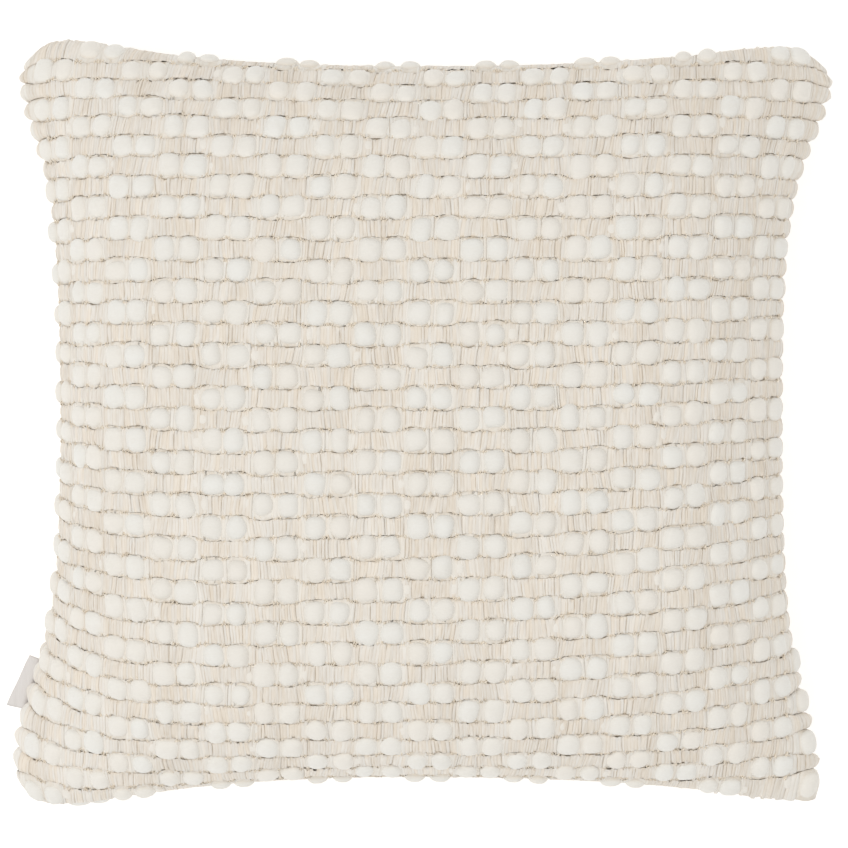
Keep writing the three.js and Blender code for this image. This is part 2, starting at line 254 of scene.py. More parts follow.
def grid_faces(index):
    """Quads between neighbours of one or many grids of point numbers."""
    near, far = index[..., :-1, :], index[..., 1:, :]
    corners = [near[..., :-1], far[..., :-1], far[..., 1:], near[..., 1:]]
    return np.stack(corners, axis=-1).reshape(-1, 4)


def add_piece(name, points, face_sets, material, values=None, places=None):
    """A smooth mesh from points in millimetres and arrays of faces with as many corners each.

    values are named point attributes, and places an (across, up) map for each point."""
    corners = np.concatenate([np.asarray(faces).ravel() for faces in face_sets])
    used, corners = np.unique(corners, return_inverse=True)
    points = np.asarray(points)[used]
    sizes = np.concatenate([np.full(len(faces), np.shape(faces)[1]) for faces in face_sets])
    mesh = bpy.data.meshes.new(name)
    mesh.vertices.add(len(points))
    mesh.vertices.foreach_set("co", (points * MM).astype(np.float32).ravel())
    mesh.loops.add(len(corners))
    mesh.loops.foreach_set("vertex_index", corners.astype(np.int32))
    mesh.polygons.add(len(sizes))
    starts = np.append(0, np.cumsum(sizes)[:-1])
    mesh.polygons.foreach_set("loop_start", starts.astype(np.int32))
    mesh.update(calc_edges=True)
    mesh.polygons.foreach_set("use_smooth", np.ones(len(sizes), bool))
    for label, numbers in (values or {}).items():
        attribute = mesh.attributes.new(label, "FLOAT", "POINT")
        attribute.data.foreach_set("value", np.asarray(numbers, np.float32).ravel()[used])
    if places is not None:
        layer = mesh.uv_layers.new(name="cloth")
        layer.data.foreach_set("uv", (places[used][corners] * MM).astype(np.float32).ravel())
    mesh.materials.append(material)
    piece = bpy.data.objects.new(name, mesh)
    bpy.context.collection.objects.link(piece)
    return piece


def new_material(name, **settings):
    """A material with a Principled shader; the settings go on the shader's own sockets."""
    material = bpy.data.materials.new(name)
    material.use_nodes = True
    shader = material.node_tree.nodes["Principled BSDF"]
    for socket, value in settings.items():
        shader.inputs[socket.replace("_", " ")].default_value = value
    return material, material.node_tree, shader


def add_node(tree, kind, inputs=(), **properties):
    """One node: each of its inputs gets a value, or a link from another node's output."""
    node = tree.nodes.new(kind)
    for key, value in properties.items():
        setattr(node, key, value)
    for key, value in dict(inputs).items():
        if isinstance(value, bpy.types.NodeSocket):
            tree.links.new(value, node.inputs[key])
        else:
            node.inputs[key].default_value = value
    return node


def mix_colours(tree, share, first, second):
    """The colour a share of the way from the first to the second."""
    node = add_node(tree, "ShaderNodeMix", {0: share, 6: first, 7: second}, data_type="RGBA")
    return node.outputs[2]


def object_place(tree):
    """Where a point of the surface lies, in metres."""
    return add_node(tree, "ShaderNodeTexCoord").outputs["Object"]


def draw_out(tree, vector, scale):
    """A place with its axes scaled: a small scale draws a pattern out that way."""
    return add_node(tree, "ShaderNodeMapping", {"Vector": vector, "Scale": scale}).outputs[0]


def make_yarn_group():
    """Node group for spun yarn: how a colour mottles and flecks, and how high its fibres stand.

    Mottling is a slow noise and fleck a quick one; their product leans the base colour towards
    the fleck colour. The height is the quick noise alone."""
    tree = bpy.data.node_groups.new("spun yarn", "ShaderNodeTree")
    for name, kind in (
        ("Vector", "NodeSocketVector"),
        ("Base", "NodeSocketColor"),
        ("Fleck", "NodeSocketColor"),
        ("Patch Scale", "NodeSocketFloat"),
        ("Fibre Scale", "NodeSocketFloat"),
        ("Amount", "NodeSocketFloat"),
    ):
        tree.interface.new_socket(name, in_out="INPUT", socket_type=kind)
    tree.interface.new_socket("Color", in_out="OUTPUT", socket_type="NodeSocketColor")
    tree.interface.new_socket("Height", in_out="OUTPUT", socket_type="NodeSocketFloat")
    given = add_node(tree, "NodeGroupInput").outputs
    patch, fibre = (
        add_node(
            tree,
            "ShaderNodeTexNoise",
            {"Vector": given["Vector"], "Scale": given[scale], "Detail": 3.0, "Roughness": 0.6},
        ).outputs[0]
        for scale in ("Patch Scale", "Fibre Scale")
    )
    both = add_node(tree, "ShaderNodeMath", {0: patch, 1: fibre}, operation="MULTIPLY").outputs[0]
    spread = add_node(
        tree, "ShaderNodeMapRange", {"Value": both, "From Min": 0.12, "From Max": 0.42}
    ).outputs[0]
    share = add_node(
        tree, "ShaderNodeMath", {0: spread, 1: given["Amount"]}, operation="MULTIPLY"
    ).outputs[0]
    flecked = mix_colours(tree, share, given["Base"], given["Fleck"])
    add_node(tree, "NodeGroupOutput", {"Color": flecked, "Height": fibre})
    return tree


YARN = make_yarn_group()


def add_yarn(tree, vector, **yarn):
    """The spun yarn group placed in a material, with a value or a link for each input."""
    inputs = {name.replace("_", " ").title(): value for name, value in yarn.items()}
    inputs["Vector"] = vector
    return add_node(tree, "ShaderNodeGroup", inputs, node_tree=YARN).outputs


def add_bump(tree, shader, height, strength, distance):
    """A bump from a height, on the shader's normal."""
    bump = add_node(
        tree, "ShaderNodeBump", {"Height": height, "Strength": strength, "Distance": distance}
    )
    tree.links.new(bump.outputs[0], shader.inputs["Normal"])


def yarn_material(name, yarn, settings, stretch=(1, 1, 1), bump=None):
    """A material of one spun yarn, which may be drawn out along the object's axes.

    yarn holds the inputs of its group, settings those of the shader, bump those of add_bump."""
    material, tree, shader = new_material(name, **settings)
    spun = add_yarn(tree, draw_out(tree, object_place(tree), stretch), **yarn)
    tree.links.new(spun["Color"], shader.inputs["Base Color"])
    if bump:
        add_bump(tree, shader, spun["Height"], **bump)
    return material


# The ground cotton is coloured darker and browner than the warps: its own cotton with painted
# shade, since it is seen only deep in the furrows.
ground_cotton = yarn_material(
    "ground cotton",
    dict(
        base=(0.74, 0.65, 0.53, 1),
        fleck=(0.52, 0.42, 0.31, 1),
        patch_scale=90.0, fibre_scale=1400.0, amount=0.8,
    ),
    dict(Roughness=0.95, Specular_IOR_Level=0.1),
    bump=dict(strength=0.5, distance=0.0006),
)

u, v = panel_shares(GROUND_STATIONS)
across, up = u * PANEL_HALF_X, v * PANEL_HALF_Y
to_seam = np.minimum(PANEL_HALF_X - np.abs(across), PANEL_HALF_Y - np.abs(up))
ground_depth = np.interp(to_seam, (0, GROUND_RUN), (SEAM_DEPTH, GROUND_DEPTH))
ground_normal = front_frame(across, up)[2]
ground_top = front_point(across, up) - ground_depth[..., None] * ground_normal
ground_under = under_point(u, v, SEAM_DEPTH)
numbers = np.arange(u.size).reshape(u.shape)
at_seam = np.maximum(np.abs(u), np.abs(v)) > AT_SEAM
under_numbers = np.where(at_seam, numbers, numbers + u.size)
filled_front = add_piece(
    "filled_front",
    np.concatenate([ground_top.reshape(-1, 3), ground_under.reshape(-1, 3)]),
    [grid_faces(numbers), grid_faces(under_numbers)[:, ::-1]],
    ground_cotton,
)
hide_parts("cushion")
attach(filled_front, "root")

# The cross ribs: 38 thick wefts, each wrapped by about 265 fine cotton warps that run over it
# from furrow to furrow. The warps are drawn together unevenly, so here and there a split
# shows dark, and gaping furrows darken at their edges, both with painted shade. Bobbles press
# the furrows apart, and beside them the wrapping climbs a little.
ROW_COUNT = 38
ROW_PITCH = 12.5
COLUMN_COUNT = 33
COLUMN_PITCH = 15.15
FIRST_COLUMN = -238.0
LAST_COLUMN_ROW = 31
OVERHANGS = {"bottom_left": 4.2, "bottom_right": 6.5, "top_left": 7.5, "top_right": 6.0}
OVERHANG_RUN = 15.0
SEAM_RISES = {"left": 0.0, "right": 2.8, "bottom": 1.2, "top": 1.4}
SEAM_RISE_RUN = 24.0


def woven_face(across, up):
    """Place on the woven face, which overhangs the seam, with its front_frame.

    How far it overhangs is blended between the four corners. The last stretch before a seam
    is drawn out past it by a square law. The middle of a side rises towards its seam."""
    to_right = (across / PANEL_HALF_X).clip(-1, 1) / 2 + 0.5
    to_top = (up / PANEL_HALF_Y).clip(-1, 1) / 2 + 0.5
    overhang = between_corners(to_right, to_top, OVERHANGS)
    drawn_across, drawn_up = (
        place
        + np.sign(place) * overhang * np.clip(1 - (half - np.abs(place)) / OVERHANG_RUN, 0, 1) ** 2
        for place, half in ((across, PANEL_HALF_X), (up, PANEL_HALF_Y))
    )
    along_row, along_column, normal = front_frame(drawn_across, drawn_up, overhang)
    rise = np.zeros_like(drawn_across)
    for side, to_seam, along in (
        ("left", PANEL_HALF_X + across, to_top),
        ("right", PANEL_HALF_X - across, to_top),
        ("bottom", PANEL_HALF_Y + up, to_right),
        ("top", PANEL_HALF_Y - up, to_right),
    ):
        mid_side = 4 * along * (1 - along)
        nearness = np.clip(1 - to_seam / SEAM_RISE_RUN, 0, 1)
        rise = np.maximum(rise, SEAM_RISES[side] * mid_side * nearness)
    place = front_point(drawn_across, drawn_up, overhang) + rise[..., None] * normal
    return place, along_row, along_column, normal


def woven_point(across, up, lift):
    """A place on the woven face, lifted off it along its normal."""
    place, _, _, normal = woven_face(across, up)
    return place + np.asarray(lift)[..., None] * normal


BOBBLE_SPREAD = 1.3
BOBBLE_PRESS_WIDTH = 6.8
FURROW_WANDER = ((0.22, 4.1), (0.3, 13.0), (0.4, 29.0))
FURROW_GAPING = ((1.0, 8.0), (1.0, 2.9), (1.0, 1.3))
GAPING_RANGE = (0.992, 2.592)
wander_phase = np.random.default_rng(11).uniform(0, 2 * np.pi, (ROW_COUNT + 1, 3))


def is_puffed(row, column):
    """Whether a row puffs out in a column; the last column does so only near the bottom."""
    last = (column == COLUMN_COUNT - 1) & (row < LAST_COLUMN_ROW)
    return ((row + column // 2) % 2 == 1) & ~last


def bobble_distance(row, across):
    """Distance along a row to the middle of its nearest bobble.

    Of the two columns on either side of the place, the nearer one whose turn it is counts; a
    row between two pairs is a whole pitch or more away."""
    phase = (across - FIRST_COLUMN) / COLUMN_PITCH
    left = np.floor(phase)
    to_left = np.where(is_puffed(row, left), phase - left, 2)
    to_right = np.where(is_puffed(row, left + 1), left + 1 - phase, 2)
    return np.minimum(to_left, to_right) * COLUMN_PITCH


def bobble_press(row, across):
    """How hard a row's bobbles press on its furrows: 1 at a bobble's middle, a flat-topped bell."""
    return np.exp(-((bobble_distance(row, across) / BOBBLE_PRESS_WIDTH) ** 3))


def ripples(across, waves, phases):
    """A sum of sines. Each wave has its height and the millimetres in which it turns a radian."""
    return sum(
        height * np.sin(across / run + phase) for (height, run), phase in zip(waves, phases)
    )


def furrow_line(number, across):
    """Where a furrow crosses the panel; number 0 is the top seam.

    Its straight place, pushed off the bobbles above and below it, with three slow sines of
    wander. The outer two lie straight."""
    straight = PANEL_HALF_Y - ROW_PITCH * number
    inner = (number > 0) & (number < ROW_COUNT)
    pushed = BOBBLE_SPREAD * (bobble_press(number, across) - bobble_press(number - 1, across))
    return straight + inner * (pushed + ripples(across, FURROW_WANDER, wander_phase[number].T))


def furrow_opening(number, across):
    """How far a furrow gapes, from 0 to 1, in short stretches: the peaks of three quick sines."""
    waves = ripples(across, FURROW_GAPING, wander_phase[number])
    return np.interp(waves, GAPING_RANGE, (0, 1))


THREAD_COUNT = 268
THREAD_WIDTH = 1.87
THREAD_UNEVEN = 0.3
THREAD_LIMITS = (1.1, 2.9)
THREAD_HEIGHT_UNEVEN = 0.07
THREAD_SHADE_WAVE = (0.2, 9.0, 2.1)
HIDDEN_BY_BOBBLE = 4.4
SPLIT_HALF_WIDTH = 0.3
SPLIT_DEPTH = 0.06
SPLIT_UNEVEN = 0.07
WIDE_SPLIT_SHARE = 0.13
WIDE_SPLIT_DEPTH = (0.3, 0.6)
SPLIT_SHADOW = (0.2, 1.3, 0.8)
WARP_END_UNEVEN = 0.14
CRUMB_UNEVEN = 0.3
CORD_END_STEPS = np.array([0.0, 0.1, 0.4, 1.0])


def warp_stations(row):
    """Places along a row at the splits between its warps and at both shoulders of each warp.

    Gives eight values for each place: how far across it is, height of the warps there, how
    much painted shade the split gets, the warp's shade, how far its upper and lower end stand
    off the furrows, and how much either stands up there as a crumb. Warps that a bobble hides
    are left out, and the tips of the row get closer places of their own."""
    random = np.random.default_rng(200 + row)
    widths = random.normal(THREAD_WIDTH, THREAD_UNEVEN, THREAD_COUNT).clip(*THREAD_LIMITS)
    edges = np.append(0, np.cumsum(widths))
    edges = edges * (2 * PANEL_HALF_X / edges[-1]) - PANEL_HALF_X
    first, last = edges[:-1], edges[1:]
    wide = random.random(THREAD_COUNT) < WIDE_SPLIT_SHARE
    split = SPLIT_DEPTH + random.exponential(SPLIT_UNEVEN, THREAD_COUNT)
    split = split + wide * random.uniform(*WIDE_SPLIT_DEPTH, THREAD_COUNT)
    height = random.normal(0, THREAD_HEIGHT_UNEVEN, THREAD_COUNT)
    share, run, shift = THREAD_SHADE_WAVE
    swing = (1 + np.sin(first / run + shift * row)) / 2
    shade = (1 - share) * random.uniform(0, 1, THREAD_COUNT) + share * swing
    least, by_depth, most = SPLIT_SHADOW
    dark = (least + by_depth * split).clip(0, most)
    at_split = np.array([1, 0, 0])
    table = np.zeros((THREAD_COUNT, 3, 8))
    table[..., 0] = np.stack([first, first + SPLIT_HALF_WIDTH, last - SPLIT_HALF_WIDTH], axis=1)
    table[..., 1] = height[:, None] - split[:, None] * at_split
    table[..., 2] = dark[:, None] * at_split
    table[..., 3] = shade[:, None]
    table[..., 4:6] = random.normal(0, WARP_END_UNEVEN, (THREAD_COUNT, 1, 2))
    table[..., 6:8] = random.normal(0, CRUMB_UNEVEN, (THREAD_COUNT, 1, 2))
    keep = bobble_distance(row, table[..., 0]) > HIDDEN_BY_BOBBLE
    keep[:, 0] = True
    keep &= np.abs(table[..., 0]) < PANEL_HALF_X - CORD_END_STEPS[-1]
    tips = np.zeros((2 * CORD_END_STEPS.size, 8))
    tips[:, 0] = np.append(CORD_END_STEPS - PANEL_HALF_X, PANEL_HALF_X - CORD_END_STEPS[::-1])
    tips[:, 3] = 0.5
    table = np.concatenate([table[keep], tips])
    return table[np.argsort(table[:, 0])].T


RIB_POWER = 2.8
RIB_UNDERSIDE = -0.3
RIB_RING_DEGREES = np.array([-90, -68, -42, -15, 15, 42, 68, 90])
CORD_POWER = 1.95
CORD_END_RUN = 22.0
CORD_TIP = {"run": 3.4, "least": 0.4, "roundness": 3, "bluntness": 0.33}


def rib_profile(row, to_end):
    """The section of a row round each of its rings.

    The upper half of a superellipse as shares of its half width and height, closed by one point
    under the cloth. Towards the row's ends, and on the outer side of the first and last row, it
    is round as a cord. Gives the angles, which of them are outer, roundness, side and crest."""
    angle = np.append(np.radians(RIB_RING_DEGREES), 0.0)[None, :]
    outer = ((angle > 0) & (row == 0)) | ((angle < 0) & (row == ROW_COUNT - 1))
    roundness = np.maximum(np.clip(1 - to_end / CORD_END_RUN, 0, 1), outer)
    power = RIB_POWER + (CORD_POWER - RIB_POWER) * roundness
    side = np.sign(angle) * np.abs(np.sin(angle)) ** (2 / power)
    crest = np.cos(angle).clip(0, 1) ** (2 / power)
    side[:, -1], crest[:, -1] = 0.0, RIB_UNDERSIDE
    return angle, outer, roundness, side, crest


def cord_tip(to_end):
    """Width of a row near its end, as a share of the full width: a blunt, rounded tip."""
    rounded = 1 - (1 - np.clip(to_end / CORD_TIP["run"], 0, 1)) ** CORD_TIP["roundness"]
    return CORD_TIP["least"] + (1 - CORD_TIP["least"]) * rounded ** CORD_TIP["bluntness"]


FURROW_GAP = -0.12
FURROW_OPENING = 0.3
FURROW_SHADOW_FROM = 0.93
FURROW_SHADOW = (0.03, 0.53)
THREAD_HEIGHT_AT_FOOT = 0.35
SPLIT_PATCHES = (0.2, 1.7)
CRUMB_RANGE = (0.6, 0.9)
CRUMB_TINT = 1.2
RIB_DEPTHS = (0.5, 1.15)
RIB_ROLL = 1.2
CORD_DEPTH = 5.0
CORD_CORNER_LOSS = 0.7
CORD_CORNER_POWER = 6
PAIR_REACH = 7.2
PAIR_DIP = 0.35
PAIR_DIP_POWER = 6
PAIR_CLIMB = 0.25
PAIR_CLIMB_WIDTH = 1.5
WARP_FUZZ = 0.05
WARP_FRAY = 1.5
WARP_LEAN = ((0.4, 6.0), (0.5, 17.0))
WARP_LEAN_SHIFTS = (1.7, 2.9)
WARP_BOW = ((0.3, 11.0),)
WARP_BOW_SHIFTS = (0.9,)
FLUFF = {"amount": 0.6, "reach": 6.3, "fade": 1.2, "power": 6}


def rib_rings(row):
    """One row as rings of points round its weft, with their attributes and cloth places.

    A ring spans two furrows and is deeper where a furrow gapes. Rings lean and bow a little
    with their warps, and their ends stand up as crumbs."""
    across, lift, dark, tint, end_above, end_below, crumb_above, crumb_below = (
        values[:, None] for values in warp_stations(row)
    )
    to_end = PANEL_HALF_X - np.abs(across)
    angle, outer, roundness, side, crest = rib_profile(row, to_end)
    edge, top = np.abs(side), crest.clip(0, 1)

    open_above, open_below = furrow_opening(row, across), furrow_opening(row + 1, across)
    above = furrow_line(row, across) - FURROW_GAP - FURROW_OPENING * open_above + end_above
    below = furrow_line(row + 1, across) + FURROW_GAP + FURROW_OPENING * open_below + end_below
    ending = cord_tip(to_end)
    centre, half = (above + below) / 2, (above - below) / 2 * ending
    up = centre + half * side
    opening = np.where(side > 0, open_above, open_below)
    depth = np.interp(opening, (0, 1), RIB_DEPTHS)
    corner_loss = CORD_CORNER_LOSS * np.abs(up / PANEL_HALF_Y) ** CORD_CORNER_POWER
    depth = depth + (CORD_DEPTH * (1 - corner_loss) - depth) * roundness
    depth[:, -1] = depth.mean(axis=1)

    random = np.random.default_rng(700 + row)
    fuzz = random.normal(0, WARP_FUZZ, (2, *side.shape))
    patchy = random.uniform(*SPLIT_PATCHES, side.shape)
    crumb = np.where(side > 0, crumb_above, crumb_below) * np.interp(edge, CRUMB_RANGE, (0, 1))
    away = bobble_distance(row, across)
    climb = PAIR_CLIMB * bell(away, PAIR_REACH, PAIR_CLIMB_WIDTH)
    climb = climb - PAIR_DIP * np.exp(-((away / PAIR_REACH) ** PAIR_DIP_POWER))
    height = (
        lift * np.interp(top, (0, 1), (THREAD_HEIGHT_AT_FOOT, 1))
        + climb * (1 + crest) / 2
        + crumb
        + fuzz[0]
        - depth * (1 - crest)
    )
    lean = ripples(across, WARP_LEAN, np.multiply(WARP_LEAN_SHIFTS, row))
    bow = ripples(across, WARP_BOW, np.multiply(WARP_BOW_SHIFTS, row))
    slant = lean * side + bow * (1 - side**2) + WARP_FRAY * fuzz[1]
    slanted = (across + slant * ending).clip(-PANEL_HALF_X, PANEL_HALF_X)
    points = woven_point(slanted, up, height)

    # Painted shade: the depth value darkens the cotton towards brown at the edges of a furrow, more
    # where it gapes, and along the splits between warps, less in the fluff.
    furrow = np.interp(edge, (FURROW_SHADOW_FROM, 1), (0, 1)) * ~outer
    furrow = furrow * np.interp(opening, (0, 1), FURROW_SHADOW)
    past_wool = (away - FLUFF["reach"]).clip(0)
    fluff = FLUFF["amount"] * bell(past_wool, 0, FLUFF["fade"]) * (1 - edge ** FLUFF["power"])
    splits = dark * patchy * np.sqrt(top) * (1 - fluff)
    values = {
        "depth": np.maximum(splits, furrow).clip(0, 1),
        "tint": (tint + CRUMB_TINT * crumb).clip(0, 1),
        "fluff": fluff,
    }
    rolled = centre + half * angle * RIB_ROLL
    return points, values, np.stack([across + 0 * rolled, rolled], axis=-1)


def closed(numbers):
    """Point numbers of rings, with the first of each ring again at its end."""
    return np.concatenate([numbers, numbers[..., :1]], axis=-1)


def rib_band(name, rows, material):
    """Several rows joined into one piece."""
    made = [rib_rings(row) for row in range(*rows)]
    quads, caps, count = [], [], 0
    for points, _, _ in made:
        numbers = count + np.arange(points[..., 0].size).reshape(points.shape[:2])
        quads.append(grid_faces(closed(numbers)))
        caps += [numbers[0], numbers[-1, ::-1]]
        count += numbers.size
    return add_piece(
        name,
        np.concatenate([points.reshape(-1, 3) for points, _, _ in made]),
        [np.concatenate(quads), np.array(caps)],
        material,
        {key: np.concatenate([values[key].ravel() for _, values, _ in made]) for key in made[0][1]},
        np.concatenate([place.reshape(-1, 2) for _, _, place in made]),
    )


def point_value(tree, name):
    """A value that the points of a mesh carry."""
    return add_node(tree, "ShaderNodeAttribute", attribute_name=name).outputs["Fac"]


warp_cotton, tree, shader = new_material(
    "warp cotton", Roughness=0.9, Specular_IOR_Level=0.15, Sheen_Weight=0.15, Sheen_Roughness=0.5
)
cloth_place = add_node(tree, "ShaderNodeUVMap", uv_map="cloth").outputs[0]
ramp = add_node(tree, "ShaderNodeValToRGB", {"Fac": point_value(tree, "tint")})
ramp.color_ramp.elements[0].color = (0.87, 0.79, 0.685, 1)
ramp.color_ramp.elements[1].color = (0.81, 0.785, 0.74, 1)
middle_stop = ramp.color_ramp.elements.new(0.5)
middle_stop.color = (0.87, 0.83, 0.77, 1)
yarn = add_yarn(
    tree,
    draw_out(tree, cloth_place, (1.0, 0.12, 1.0)),
    base=ramp.outputs[0],
    fleck=(0.69, 0.61, 0.51, 1),
    patch_scale=60.0, fibre_scale=750.0, amount=0.75,
)
woolly = mix_colours(tree, point_value(tree, "fluff"), yarn["Color"], (0.85, 0.83, 0.78, 1))
# Painted shade: the depth value mixes the cotton towards brown in the splits and furrows.
shaded = mix_colours(tree, point_value(tree, "depth"), woolly, (0.60, 0.49, 0.35, 1))
tree.links.new(shaded, shader.inputs["Base Color"])
add_bump(tree, shader, yarn["Height"], strength=0.35, distance=0.0003)

RIB_BANDS = {"ribs_top": (0, 13), "ribs_middle": (13, 26), "ribs_bottom": (26, 38)}
for name, rows in RIB_BANDS.items():
    piece = rib_band(name, rows, warp_cotton)
    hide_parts("cushion")
    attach(piece, "root")

# The bobbles: in every other pair of columns the wool weft stands out of its row as two round
# knobs of felted wool, about 14 mm across, no two quite alike. Beside some pairs a little more
# of the weft shows through the warps. At the lower left two pairs are turned under the seam.
BOBBLE_HALF_X = 6.8
BOBBLE_HALF_Y = 7.2
BOBBLE_CENTRE = -2.4
BOBBLE_RISE = 2.9
BOBBLE_MAX_ACROSS = 246
BOBBLE_INWARD = (0.25, 0.4)
BOBBLE_SHIFT_ACROSS = 0.35
BOBBLE_SHIFT_UP = 0.4
BOBBLE_AROUND = 14
BOBBLE_PROFILE_DEGREES = np.array([66, 46, 28, 9, -25])
BOBBLE_PLAN_POWER = {"mean": 2.65, "spread": 0.35, "limits": (2.1, 3.5)}
BOBBLE_SIDE_POWER = 2.1
BOBBLE_END_POWER = 2.7
BOBBLE_LUMPS = 0.03
BOBBLE_LUMP_TURN = 3
BOBBLE_RISE_UNEVEN = 0.07
BOBBLE_X_UNEVEN = {"spread": 0.07, "limits": (0.84, 1.12)}
BOBBLE_Y_UNEVEN = {"spread": 0.06, "limits": (0.86, 1.12)}
BOBBLE_TILT = 0.12
BOBBLE_LEAN = 0.5
BOBBLE_FIT = {"limits": (0.55, 1.1), "power": 0.7}
RIM_SHADE = (-0.15, 0.35)
TURNED_COLUMNS = [2, 3, 6, 7]
TURNED_RISE = 0.3
BUD_SHARE = 0.18
BUD_HALF_X = 3.6
BUD_HALF_Y = 4.8
BUD_RISE = 0.3
BUD_DISTANCE = 9.6
BUD_SHIFT_ACROSS = 0.5
BUD_SHIFT_UP = 0.7

random = np.random.default_rng(5)
rows, columns = np.meshgrid(np.arange(ROW_COUNT), np.arange(COLUMN_COUNT), indexing="ij")
puffed = is_puffed(rows, columns)
rows = np.append(rows[puffed], np.full(len(TURNED_COLUMNS), ROW_COUNT))
columns = np.append(columns[puffed], TURNED_COLUMNS)
count = rows.size
to_partner = np.where(columns % 2 == 0, 1, -1)
inward = to_partner * random.normal(*BOBBLE_INWARD, count)
bobble_across = FIRST_COLUMN + COLUMN_PITCH * columns + inward
bobble_across = bobble_across + random.normal(0, BOBBLE_SHIFT_ACROSS, count)
bobble_across = bobble_across.clip(-PANEL_HALF_X, BOBBLE_MAX_ACROSS)
bobble_up = PANEL_HALF_Y - ROW_PITCH * (rows + 0.5) + random.normal(0, BOBBLE_SHIFT_UP, count)
bobble_up = bobble_up.clip(-PANEL_HALF_Y)
bobble_rise = np.where(rows == ROW_COUNT, TURNED_RISE, BOBBLE_RISE)
budded = random.random(count) < BUD_SHARE
bud_count = budded.sum()
bud_distance = BUD_DISTANCE + random.normal(0, BUD_SHIFT_ACROSS, bud_count)
bud_across = bobble_across[budded] - to_partner[budded] * bud_distance
bud_up = bobble_up[budded] + random.normal(0, BUD_SHIFT_UP, bud_count)
is_bud = np.repeat([False, True], [count, bud_count])


def superellipse(angle, power_x, power_y):
    """Cosine and sine of an angle, each to two over its power and with its own sign."""
    across, up = np.cos(angle), np.sin(angle)
    return (
        np.sign(across) * np.abs(across) ** (2 / power_x),
        np.sign(up) * np.abs(up) ** (2 / power_y),
    )


def fit_to_cloth(along):
    """A running direction of the front, with a length that follows the cloth's stretch in part."""
    stretch = np.linalg.norm(along, axis=-1, keepdims=True)
    return along / stretch * stretch.clip(*BOBBLE_FIT["limits"]) ** BOBBLE_FIT["power"]


def bobble_points(across, up, half_x, half_y, rise, random):
    """Points of many bobbles at once, as (bobble, ring, around), with crowns and ring heights.

    A superellipse in plan, rounder or squarer from one to the next, carried up a quarter of a
    superellipse to the crown, softer at its sides than above and below. Two slow waves round
    it make it lumpy, and the crown leans."""

    def draw(mean, spread):
        """One normal draw for each bobble."""
        return random.normal(mean, spread, across.size)[:, None, None]

    turn = np.linspace(0, 2 * np.pi, BOBBLE_AROUND, endpoint=False)[None, None, :]
    profile = np.radians(BOBBLE_PROFILE_DEGREES)[None, :, None]
    plan = BOBBLE_PLAN_POWER
    plan_power = draw(plan["mean"], plan["spread"]).clip(*plan["limits"])
    plan_x, plan_y = superellipse(turn, plan_power, plan_power)
    waves = sum(np.cos(k * turn + draw(0, BOBBLE_LUMP_TURN)) for k in (2, 3))
    lumps = 1 + BOBBLE_LUMPS * waves
    side_out, height = superellipse(profile, BOBBLE_SIDE_POWER, BOBBLE_SIDE_POWER)
    end_out, _ = superellipse(profile, BOBBLE_END_POWER, BOBBLE_SIDE_POWER)
    reach = (rise[:, None, None] - BOBBLE_CENTRE) * draw(1, BOBBLE_RISE_UNEVEN)
    wide = draw(1, BOBBLE_X_UNEVEN["spread"]).clip(*BOBBLE_X_UNEVEN["limits"])
    long = draw(1, BOBBLE_Y_UNEVEN["spread"]).clip(*BOBBLE_Y_UNEVEN["limits"])
    x = half_x[:, None, None] * wide * plan_x * side_out * lumps
    y = half_y[:, None, None] * long * plan_y * end_out * lumps
    tilt = draw(0, BOBBLE_TILT)
    x, y = x * np.cos(tilt) - y * np.sin(tilt), x * np.sin(tilt) + y * np.cos(tilt)
    lean_x, lean_y = draw(0, BOBBLE_LEAN), draw(0, BOBBLE_LEAN)
    x, y = x + lean_x * height.clip(0, 1), y + lean_y * height.clip(0, 1)
    z = BOBBLE_CENTRE + reach * height + 0 * x
    foot, along_row, along_column, normal = (
        part[:, None, None, :] for part in woven_face(across, up)
    )
    fit_x, fit_y = fit_to_cloth(along_row), fit_to_cloth(along_column)
    rings = foot + x[..., None] * fit_x + y[..., None] * fit_y + z[..., None] * normal
    crown_z = BOBBLE_CENTRE + reach
    crowns = (
        foot + lean_x[..., None] * fit_x + lean_y[..., None] * fit_y + crown_z[..., None] * normal
    )
    return rings, crowns[:, 0, 0], height


felted_wool, tree, shader = new_material(
    "felted wool", Roughness=1.0, Specular_IOR_Level=0.05, Sheen_Weight=0.25, Sheen_Roughness=0.6
)
combed = draw_out(tree, object_place(tree), (0.35, 1.0, 0.8))
wool_base = mix_colours(
    tree, point_value(tree, "tint"), (0.85, 0.84, 0.80, 1), (0.86, 0.82, 0.755, 1)
)
yarn = add_yarn(
    tree,
    combed,
    base=wool_base,
    fleck=(0.78, 0.74, 0.67, 1),
    patch_scale=120.0, fibre_scale=1500.0, amount=0.45,
)
# Painted shade: the depth value mixes the wool towards tan low on each bobble, round its foot.
rim_shaded = mix_colours(tree, point_value(tree, "depth"), yarn["Color"], (0.76, 0.68, 0.57, 1))
tree.links.new(rim_shaded, shader.inputs["Base Color"])
add_bump(tree, shader, yarn["Height"], strength=0.25, distance=0.0005)

rings, crowns, ring_height = bobble_points(
    np.append(bobble_across, bud_across),
    np.append(bobble_up, bud_up),
    np.where(is_bud, BUD_HALF_X, BOBBLE_HALF_X),
    np.where(is_bud, BUD_HALF_Y, BOBBLE_HALF_Y),
    np.append(bobble_rise, np.full(bud_count, BUD_RISE)),
    random,
)
numbers = np.arange(rings[..., 0].size).reshape(rings.shape[:3])
onward = closed(numbers)[:, :, 1:]
crown_numbers = np.repeat(numbers.size + np.arange(len(crowns))[:, None], BOBBLE_AROUND, axis=1)
bobble_quads = np.stack([numbers[:, 1:], onward[:, 1:], onward[:, :-1], numbers[:, :-1]], axis=-1)
bobble_caps = np.stack([numbers[:, 0], onward[:, 0], crown_numbers], axis=-1)
